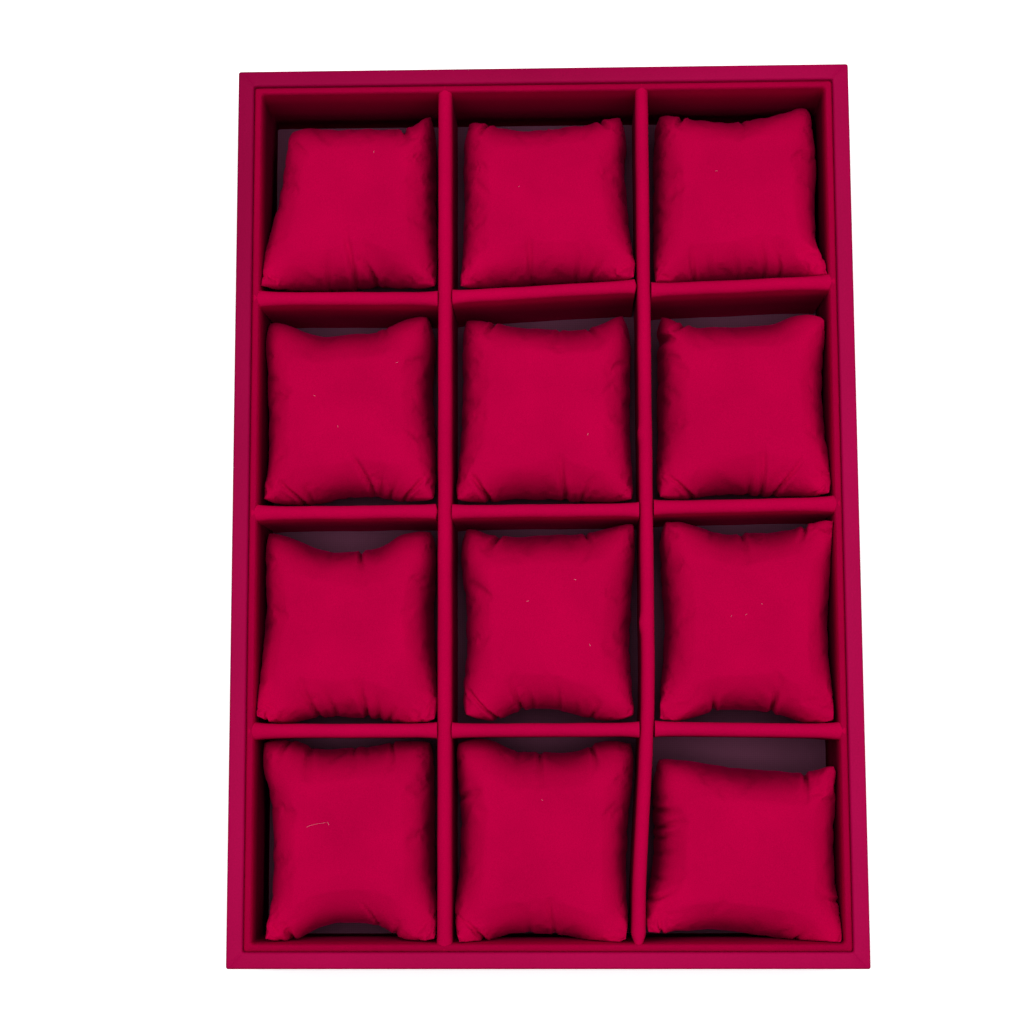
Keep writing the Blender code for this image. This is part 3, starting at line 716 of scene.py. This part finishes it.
def make_bar(name, axis, seed, flares, tips, material):
    """A velvet-wrapped divider with flared or rounded ends, following its CAD node."""
    places, middles, widths = read_bar(name, axis)
    low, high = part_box(name)
    start, end = places[0], places[-1]
    count = max(8, round((end - start) / BAR_STEP))
    spread = np.linspace(0, 1, count + 1)
    eased = spread - STATION_EASE * np.sin(2 * np.pi * spread) / (2 * np.pi)
    stations = start + (end - start) * eased
    base_width = np.median(widths)
    centre = np.interp(stations, places, middles)
    kernel = np.ones(5) / 5
    centre = np.convolve(np.pad(centre, 2, mode="edge"), kernel, mode="valid")
    grid = []
    for place, middle in zip(stations, centre):
        from_start, from_end = place - start, end - place
        width = base_width
        top = high.z
        for gap, (flare, length), tip in ((from_start, flares[0], tips[0]), (from_end, flares[1], tips[1])):
            width += 2 * flare * math.exp(-gap / length)
            if gap < tip:
                share = 1 - gap / tip
                narrow = math.sqrt(max(1 - share * share, 0.02))
                if tip > 2 * TIP_LENGTH:
                    narrow = 1 - 0.93 * share ** 1.3
                width *= narrow
                top -= TIP_DROP * (1 - narrow)
        wave = noise.noise(Vector((place * 60, seed, 0))) * BAR_WAVE * 2
        width += noise.noise(Vector((place * 90, seed, 7))) * BAR_WAVE * 2
        bottom = low.z
        if tips[0] and from_start < TAB_REACH or tips[1] and from_end < TAB_REACH:
            bottom = TAB_BOTTOM
        round_over = min(BAR_ROUND, width / 2 + 0.0002)
        points = bar_section(max(width, THINNEST_TIP) / 2, top + wave * 0.5, bottom, round_over)
        bulge = 0.0
        for pixel_x, pixel_y, size, reach in BULGES.get(name, []):
            spot = below_pixel(np.array(pixel_x), np.array(pixel_y), high.z)
            bulge += size * math.exp(-((place - spot[1]) / reach) ** 2)
        for across, height in points:
            if across < 0 and height > TAB_BOTTOM:
                across -= bulge
            spot = [0.0, 0.0, height]
            spot[axis] = place
            spot[1 - axis] = middle + across + wave * 0.6
            grid.append(spot)
    length = BAR_ARC_POINTS + 4
    faces = []
    for i in range(len(stations) - 1):
        for j in range(length):
            j2 = (j + 1) % length
            faces.append((i * length + j, (i + 1) * length + j, (i + 1) * length + j2, i * length + j2))
    faces.append(tuple(range(length)))
    last = (len(stations) - 1) * length
    faces.append(tuple(range(last + length - 1, last - 1, -1)))
    bar = new_piece("velvet_" + name, grid, faces, material)
    bar.data.set_sharp_from_angle(angle=math.radians(60))
    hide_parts(name)
    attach(bar, "root")
    return bar


# Pillows


def eased_steps(count):
    """Steps from -1 to 1 that crowd towards both ends."""
    even = np.linspace(-1, 1, count + 1)
    return even + EDGE_EASE * np.sin(np.pi * even) / np.pi


def camera_rays():
    """The camera's spot and its three directions: right, up and back."""
    turn = Euler([math.radians(angle) for angle in CAMERA_TURN]).to_matrix()
    return np.array(CAMERA_SPOT), np.array(turn).T


def below_pixel(pixel_x, pixel_y, height):
    """The point at each height that the photo shows at each pixel."""
    spot, (right, up, back) = camera_rays()
    across = (pixel_x - PHOTO_WIDTH_PX / 2) / FOCAL_LENGTH_PX
    along = (PHOTO_WIDTH_PX / 2 - pixel_y) / FOCAL_LENGTH_PX
    ray = across[..., None] * right + along[..., None] * up - back
    reach = (height - spot[2]) / ray[..., 2]
    return spot + ray * reach[..., None]


def cell_walls(row, column):
    """The cell's left, right, front and back wall, each as a function of the place along it."""
    def bar_side(node, axis, sign):
        places, middles, widths = read_bar(node, axis)
        shift = sign * (np.median(widths) / 2 + CELL_GAP)
        return lambda at: np.interp(at, places, middles) + shift

    def liner_side(node, axis, sign):
        low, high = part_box(node)
        edge = (high if sign > 0 else low)[axis] + sign * CELL_GAP
        return lambda at: np.full(np.shape(at), edge)

    bars = [None, *LONG_DIVIDERS, None]
    cross = ["cross_divider_r%d_c%d" % (number, column) for number in (row - 1, row)]
    left = bar_side(bars[column - 1], 1, 1) if column > 1 else liner_side("liner_left", 0, 1)
    right = bar_side(bars[column], 1, -1) if column < 3 else liner_side("liner_right", 0, -1)
    front = bar_side(cross[1], 0, 1) if row < 4 else liner_side("liner_front", 1, 1)
    back = bar_side(cross[0], 0, -1) if row > 1 else liner_side("liner_back", 1, -1)
    return left, right, front, back


def keep_in_cell(points, walls):
    """Press points that reach past a wall flat against it."""
    left, right, front, back = walls
    x = np.clip(points[..., 0], left(points[..., 1]), right(points[..., 1]))
    y = np.clip(points[..., 1], front(points[..., 0]), back(points[..., 0]))
    return np.stack([x, y, points[..., 2]], axis=-1)


def ear_height(pixel, lowest, walls):
    """An ear is as high as it must be to stay between the walls where the photo shows it."""
    for height in np.arange(lowest, HIGHEST_EAR, EAR_HEIGHT_STEP):
        spot = below_pixel(np.array(pixel[0]), np.array(pixel[1]), height)
        if np.linalg.norm(spot - keep_in_cell(spot, walls)) < 1e-6:
            return height
    return HIGHEST_EAR


def smooth_line(values, at):
    """A smooth curve through the values at the edge places, and zero at both ends."""
    places = np.array(EDGE_PLACES)
    heights = np.array([0.0, *values, 0.0])
    slopes = np.gradient(heights, places)
    k = np.clip(np.searchsorted(places, at) - 1, 0, len(places) - 2)
    step = places[k + 1] - places[k]
    x = (at - places[k]) / step
    rise = heights[k] * (1 + 2 * x) * (1 - x) ** 2 + heights[k + 1] * x * x * (3 - 2 * x)
    return rise + step * (slopes[k] * x * (1 - x) ** 2 + slopes[k + 1] * x * x * (x - 1))


def edge_pull(pillow, side, at):
    """How many pixels a side pulls in at each place along it."""
    return smooth_line(EDGES[pillow][side], at) * PIXELS_PER_MM


def ears_between(front_left, front_right, back_left, back_right, s, t):
    """Blend the values of four ears over the cover."""
    front = front_left + (front_right - front_left) * s
    back = back_left + (back_right - back_left) * s
    return front + (back - front) * t


def fold_press(folds, u, v, size, narrow=1.0):
    """How deep the folds press in, and how far they notch each side, at (u, v)."""
    press = np.zeros_like(u)
    notch = np.zeros(u.shape + (2,))
    for side, place, lean, reach, wide, depth in folds:
        axis = 1 if side in ("front", "back") else 0
        sign = 1 if side in ("back", "right") else -1
        along = (v, u)[axis] * size[1 - axis] * 500
        inward = (1 - sign * (u, v)[axis]) * size[axis] * 500
        middle = place * size[1 - axis] * 500 + lean * inward
        grown = narrow * wide * (0.75 + 0.5 * np.clip(inward / reach, 0, 1)) / 1.6
        offset = (along - middle) / grown
        fade = np.clip(1 - inward / reach, 0, 1) ** 1.1
        valley = np.exp(-(offset ** 2))
        ridges = 0.50 * np.exp(-((offset - 1.7) ** 2)) + 0.35 * np.exp(-((offset + 1.8) ** 2))
        press += depth * 0.001 * fade * (valley - ridges)
        edge = np.exp(-((inward / 2.5) ** 2))
        notch[..., axis] -= sign * NOTCH_SHARE * depth * 0.001 * edge * (valley - 0.4 * ridges)
    return press, notch


def soft_floor(z, floor):
    """Flatten a form where it rests, with a soft turn."""
    gap = (z - floor) / REST_SOFTNESS
    return floor + REST_SOFTNESS * np.where(gap > 20, gap, np.log1p(np.exp(np.minimum(gap, 20))))


def surface_normals(grid):
    """Unit normals of a grid of points."""
    du = np.gradient(grid, axis=1)
    dv = np.gradient(grid, axis=0)
    normal = np.cross(du, dv)
    return normal / np.maximum(np.linalg.norm(normal, axis=2, keepdims=True), 1e-12)


def noise_grid(grid, seed):
    """Low, soft unevenness of stuffed cloth."""
    total = np.zeros(grid.shape[:2])
    for size, height in UNEVEN:
        for index in np.ndindex(total.shape):
            spot = Vector(grid[index] / size) + Vector((seed * 3.7, seed * 1.3, 0.0))
            total[index] += noise.noise(spot) * height
    return total


def seam_ripple(grid, u, v):
    """Small sideways wander of the seam."""
    shift = np.zeros(u.shape + (2,))
    near = np.clip(np.abs(u) ** 8 + np.abs(v) ** 8, 0, 1)
    for index in np.ndindex(u.shape):
        shift[index] = noise.noise_vector(Vector(grid[index] / RIPPLE_SIZE))[:2]
    return shift * (near * SEAM_RIPPLE)[..., None]


def fullness(u, v, powers):
    """How far the stuffing lifts the cover: 1 in the middle and 0 along the seam."""
    return ((1 - np.abs(u) ** powers[0]) * (1 - np.abs(v) ** powers[1])) ** ROUND_POWER


def stuffed_shape(row, column):
    """The upper and lower cover of a pillow between the ears that the photo shows."""
    key = (row, column)
    walls = cell_walls(row, column)
    low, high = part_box("pillow_r%d_c%d" % key)
    v, u = np.meshgrid(eased_steps(GRID_V), eased_steps(GRID_U), indexing="ij")
    s = (u * (1 - EAR_BLUNT * np.abs(v) ** BLUNT_POWER) + 1) / 2
    t = (v * (1 - EAR_BLUNT * np.abs(u) ** BLUNT_POWER) + 1) / 2
    corners = [*EARS[key]["front"], *EARS[key]["back"]]
    lowest = [EAR_HEIGHTS["front"]] * 2 + [EAR_HEIGHTS["back"]] * 2
    heights = [ear_height(pixel, least, walls) for pixel, least in zip(corners, lowest)]
    pixel_x = ears_between(*[ear[0] for ear in corners], s, t)
    pixel_y = ears_between(*[ear[1] for ear in corners], s, t)
    wide = (corners[1][0] - corners[0][0]) / 2
    long = (corners[0][1] - corners[2][1]) / 2
    size = (2 * wide / PIXELS_PER_MM / 1000, 2 * long / PIXELS_PER_MM / 1000)
    pixel_x = pixel_x + edge_pull(key, "left", v) * (1 - s) - edge_pull(key, "right", v) * s
    pixel_y = pixel_y - edge_pull(key, "front", u) * (1 - t) + edge_pull(key, "back", u) * t
    seam = low.z + SEAM_ABOVE_FLOOR - BACK_SINK * v
    crown = high.z - BACK_SINK * t
    seam_height = seam + (ears_between(*heights, s, t) - seam) * np.abs(u * v) ** EAR_POWER
    spot = keep_in_cell(below_pixel(pixel_x, pixel_y, seam_height), walls)
    press, notch = fold_press(FOLDS[key], u, v, size)
    spot[..., :2] += notch + seam_ripple(spot, u, v)
    spot = keep_in_cell(spot, walls)
    full = fullness(u, v, CROWN_POWERS)
    top = spot.copy()
    top[..., 2] = seam_height + (crown - seam) * full
    dent = press * SOFT_FOLD * np.minimum(1.0, SEAM_PRESS + full) * (full > 0)
    top -= surface_normals(top) * dent[..., None]
    under = spot.copy()
    share = fullness(u, v, BELLY_POWERS)
    room = np.where(u < 0, spot[..., 0] - walls[0](spot[..., 1]), walls[1](spot[..., 1]) - spot[..., 0])
    bulge = SIDE_BULGE * np.clip(room / SIDE_ROOM, 0.2, 1.0) * np.abs(u) ** 3
    under[..., 0] += np.sign(u) * bulge * np.minimum(1.0, 5 * share * (1 - share))
    under = keep_in_cell(under, walls)
    under[..., 2] = soft_floor(seam_height - (seam - low.z) * BELLY_DEPTH * share, low.z)
    for edge in (np.s_[0], np.s_[-1], np.s_[:, 0], np.s_[:, -1]):
        under[edge] = top[edge]
    shape = {"key": key, "u": u, "v": v, "top": top, "under": under}
    return {**shape, "size": size, "walls": walls, "floor": low.z}


def cover_index(rows, columns):
    """Point numbers of the upper and the lower cover, which share the seam."""
    upper = np.arange(rows * columns).reshape(rows, columns)
    lower = upper.copy()
    lower[1:-1, 1:-1] = rows * columns + np.arange((rows - 2) * (columns - 2)).reshape(rows - 2, columns - 2)
    return upper, lower


def cover_points(top, under):
    """The points of both covers, with those of the shared seam only once."""
    return np.vstack([top.reshape(-1, 3), under[1:-1, 1:-1].reshape(-1, 3)])


def cover_faces(rows, columns):
    """Four-sided faces of both covers, all facing outwards."""
    upper, lower = cover_index(rows, columns)
    faces = []
    for index, order in ((upper, (0, 1, 2, 3)), (lower, (3, 2, 1, 0))):
        corners = np.stack([index[:-1, :-1], index[:-1, 1:], index[1:, 1:], index[1:, :-1]], axis=-1)
        faces += corners.reshape(-1, 4)[:, order].tolist()
    return faces


def add_cloth(cover, held):
    """Blender's cloth on a cover that is pinned where it is held."""
    group = cover.vertex_groups.new(name="held")
    group.add([int(k) for k in np.flatnonzero(held)], 1.0, "REPLACE")
    cloth = cover.modifiers.new("cloth", "CLOTH")
    settings = cloth.settings
    settings.quality = CLOTH_QUALITY
    settings.mass = CLOTH_MASS
    for name, value in CLOTH_STIFFNESS.items():
        setattr(settings, name + "_stiffness", value)
    for name, value in CLOTH_DAMPING.items():
        setattr(settings, name + "_damping", value)
    settings.vertex_group_mass = "held"
    settings.use_pressure = True
    settings.uniform_pressure_force = CLOTH_PRESSURE
    settings.shrink_min = -CLOTH_GROWTH
    settings.effector_weights.gravity = 0.0
    cloth.point_cache.frame_start = 1
    cloth.point_cache.frame_end = CLOTH_FRAMES


def settle_as_cloth(shapes):
    """Let every cover settle as cloth over its stuffing, and keep the settled shapes."""
    covers = []
    for shape in shapes:
        rows, columns = shape["u"].shape
        points = cover_points(shape["top"], shape["under"])
        mesh = bpy.data.meshes.new("loose_cover")
        mesh.from_pydata((points * CLOTH_SCALE).tolist(), [], cover_faces(rows, columns))
        cover = bpy.data.objects.new("loose_cover", mesh)
        bpy.context.scene.collection.objects.link(cover)
        upper, _ = cover_index(rows, columns)
        held = points[:, 2] < shape["floor"] + REST_BAND
        for edge in (upper[0], upper[-1], upper[:, 0], upper[:, -1]):
            held[edge] = True
        add_cloth(cover, held)
        covers.append((cover, points))
    for number in range(1, CLOTH_FRAMES + 1):
        bpy.context.scene.frame_set(number)
    graph = bpy.context.evaluated_depsgraph_get()
    for shape, (cover, start) in zip(shapes, covers):
        settled = cover.evaluated_get(graph).data
        end = np.empty(len(settled.vertices) * 3)
        settled.vertices.foreach_get("co", end)
        move = end.reshape(-1, 3) / CLOTH_SCALE - start
        move *= np.minimum(1.0, CLOTH_CAP / np.maximum(np.linalg.norm(move, axis=1, keepdims=True), 1e-9))
        points = keep_in_cell(start + move, shape["walls"])
        points[:, 2] = np.maximum(points[:, 2], shape["floor"])
        upper, lower = cover_index(*shape["u"].shape)
        shape["top"] = points[upper]
        shape["under"] = points[lower]
    for cover, _ in covers:
        bpy.data.objects.remove(cover)
    bpy.context.scene.frame_set(1)


def refine(grid):
    """Put a smooth middle point between each two points of a grid, both ways."""
    for axis in (0, 1):
        line = np.moveaxis(grid, axis, 0)
        middle = (line[1:] + line[:-1]) / 2
        bend = line[2:] - 2 * line[1:-1] + line[:-2]
        curve = np.concatenate([bend[:1], (bend[1:] + bend[:-1]) / 2, bend[-1:]])
        middle -= curve / 8
        finer = np.empty((2 * len(line) - 1, *line.shape[1:]))
        finer[::2] = line
        finer[1::2] = middle
        grid = np.moveaxis(finer, 0, axis)
    return grid


def finish_pillow(shape, material):
    """Refine a settled cover, crease its folds, roughen it softly and make the pillow."""
    u, v = refine(shape["u"]), refine(shape["v"])
    top, under = refine(shape["top"]), refine(shape["under"])
    row, column = shape["key"]
    full = fullness(np.clip(u, -1, 1), np.clip(v, -1, 1), CROWN_POWERS)
    press, _ = fold_press(FOLDS[shape["key"]], u, v, shape["size"], CRISP_WIDTH)
    dent = press * CRISP_FOLD * np.minimum(1.0, SEAM_PRESS + full)
    relief = noise_grid(top, row * 3 + column) * full - dent
    inside = np.zeros(u.shape)
    inside[1:-1, 1:-1] = 1.0
    top += surface_normals(top) * (relief * inside)[..., None]
    top = keep_in_cell(top, shape["walls"])
    under = keep_in_cell(under, shape["walls"])
    under[..., 2] = np.maximum(under[..., 2], shape["floor"])
    name = "pillow_r%d_c%d" % (row, column)
    points = cover_points(top, under)
    pillow = new_piece("soft_" + name, points, cover_faces(*u.shape), material)
    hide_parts(name)
    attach(pillow, "root")
    return pillow


# Lint


def add_lint(name, routes, pillows, material):
    """Thin fibres that lie on the velvet below them."""
    graph = bpy.context.evaluated_depsgraph_get()
    points, faces = [], []
    for route in routes:
        first = len(points)
        for x, y in route:
            height = 0.0
            above, down = Vector((x, y, RAY_START)), Vector((0, 0, -1))
            for pillow in pillows:
                hit, spot, _, _ = pillow.evaluated_get(graph).ray_cast(above, down)
                if hit:
                    height = max(height, spot.z)
            for angle in range(0, 360, 90):
                turn = math.radians(angle)
                points.append((
                    x + LINT_WIDTH * math.cos(turn) * 0.7,
                    y + LINT_WIDTH * math.sin(turn) * 0.7,
                    height + LINT_WIDTH * (0.6 + 0.7 * math.sin(turn)),
                ))
        for k in range(len(route) - 1):
            for j in range(4):
                a = first + 4 * k + j
                b = first + 4 * k + (j + 1) % 4
                faces.append((a, b, b + 4, a + 4))
        faces.append((first + 3, first + 2, first + 1, first))
        last = first + 4 * (len(route) - 1)
        faces.append((last, last + 1, last + 2, last + 3))
    piece = new_piece(name, points, faces, material)
    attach(piece, "root")


def lint_routes():
    """A short curl for each bit of lint, and the one longer thread."""
    routes = []
    for k, (pixel_x, pixel_y, size) in enumerate(LINT):
        x, y, _ = below_pixel(np.array(pixel_x), np.array(pixel_y), LINT_HEIGHT)
        turn = 2.4 * k
        route = []
        for step in range(4):
            angle = turn + step * 0.7
            reach = size * (step - 1.5) / 3000
            route.append((
                x + reach * math.cos(turn) + 0.00015 * size * math.cos(angle),
                y + reach * math.sin(turn) + 0.00015 * size * math.sin(angle),
            ))
        routes.append(route)
    routes.append([tuple(below_pixel(np.array(x), np.array(y), LINT_HEIGHT)[:2]) for x, y in THREAD])
    return routes


# Studio


def add_area_light(name, spot, size, power, aim=None):
    """A rectangular lamp that shines straight down from its spot, or towards its aim."""
    lamp = bpy.data.lights.new(name, "AREA")
    lamp.shape = "RECTANGLE"
    lamp.size, lamp.size_y = size
    lamp.energy = power
    light = bpy.data.objects.new(name, lamp)
    light.location = spot
    if aim:
        light.rotation_euler = (Vector(aim) - Vector(spot)).to_track_quat("-Z", "Y").to_euler()
    bpy.context.scene.collection.objects.link(light)


def seen_directly(tree):
    """1 for rays from the camera, a mirror or glass, and 0 for rays that light the object."""
    path = add_node(tree, "LightPath", {})
    total = path["Is Camera Ray"]
    for other in ("Is Glossy Ray", "Is Transmission Ray"):
        total = add_node(tree, "Math", {0: total, 1: path[other]}, operation="MAXIMUM")["Value"]
    return total


def make_world():
    """An even, weak surround that looks white where it is seen directly."""
    world = bpy.data.worlds.new("studio")
    bpy.context.scene.world = world
    world.use_nodes = True
    tree = world.node_tree
    direct = seen_directly(tree)
    tints = {0: direct, 6: (*SURROUND_TINT, 1.0), 7: (1.0, 1.0, 1.0, 1.0)}
    colour = add_node(tree, "Mix", tints, data_type="RGBA")[2]
    strength = map_range(tree, direct, SURROUND, 1.0)
    set_inputs(tree, tree.nodes["Background"], {"Color": colour, "Strength": strength})


def make_floor():
    """A pale floor that keeps the tray's shadow and looks white to the camera."""
    half = FLOOR_SIZE / 2
    mesh = bpy.data.meshes.new("studio_floor")
    corners = [(-half, -half, 0), (half, -half, 0), (half, half, 0), (-half, half, 0)]
    mesh.from_pydata(corners, [], [(0, 1, 2, 3)])
    floor = bpy.data.objects.new("studio_floor", mesh)
    bpy.context.scene.collection.objects.link(floor)
    material, tree, shader = new_material("studio_floor")
    set_inputs(tree, shader, {
        "Base Color": (*FLOOR_COLOUR, 1.0), "Roughness": 0.9, "Specular IOR Level": 0.0,
        "Emission Color": (1.0, 1.0, 1.0, 1.0),
        "Emission Strength": map_range(tree, seen_directly(tree), 0.0, FLOOR_GLOW),
    })
    mesh.materials.append(material)


def make_camera():
    """The camera at the photo's viewing angle."""
    data = bpy.data.cameras.new("camera")
    data.sensor_width = SENSOR_WIDTH
    data.lens = SENSOR_WIDTH * FOCAL_LENGTH_PX / PHOTO_WIDTH_PX
    camera = bpy.data.objects.new("camera", data)
    camera.location = CAMERA_SPOT
    camera.rotation_euler = [math.radians(angle) for angle in CAMERA_TURN]
    bpy.context.scene.collection.objects.link(camera)
    bpy.context.scene.camera = camera


def dress(node, material):
    """Give a CAD node that stays its finished material."""
    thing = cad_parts[node]
    thing.data.materials.clear()
    thing.data.materials.append(material)


board_velvet = velvet("board_velvet", BOARD_NAP, BOARD_SHEEN, BOARD_PAINTED_SHADE, BOARD_SIDE_PAINTED_SHADE)
pillow_velvet = velvet("pillow_velvet", PILLOW_NAP, PILLOW_SHEEN, PILLOW_PAINTED_SHADE)
make_frame(leatherette())
make_liners(velvet("liner_velvet", BOARD_NAP, BOARD_SHEEN, LINER_PAINTED_SHADE, LINER_SIDE_PAINTED_SHADE))
dress("floor_lining", lining())
dress("base_panel", fibreboard())

for number, (bar_name, (front_flare, front_tip)) in enumerate(LONG_DIVIDERS.items(), start=1):
    make_bar(bar_name, 1, number, (front_flare, NO_FLARE), (front_tip, TIP_LENGTH), board_velvet)
wall_flare = (WALL_FLARE, WALL_FLARE_LENGTH)
inner_flare = (INNER_FLARE, INNER_FLARE_LENGTH)
for bar_row in (1, 2, 3):
    for bar_column in (1, 2, 3):
        at_wall = [bar_column == 1, bar_column == 3]
        end_flares = [wall_flare if wall else inner_flare for wall in at_wall]
        end_tips = [WALL_TIP if wall else 0.0 for wall in at_wall]
        bar_name = "cross_divider_r%d_c%d" % (bar_row, bar_column)
        make_bar(bar_name, 0, 3 * bar_row + bar_column, end_flares, end_tips, board_velvet)

pillow_shapes = [stuffed_shape(row, column) for row, column in FOLDS]
settle_as_cloth(pillow_shapes)
soft_pillows = [finish_pillow(shape, pillow_velvet) for shape in pillow_shapes]
add_lint("lint", lint_routes(), soft_pillows, lint_fibre())

make_camera()
add_area_light("key_light", KEY_SPOT, KEY_SIZE, KEY_POWER)
add_area_light("fill_light", FILL_SPOT, FILL_SIZE, FILL_POWER, aim=(0.0, 0.0, 0.0))
make_world()
make_floor()
bpy.context.scene.view_settings.view_transform = "Standard"
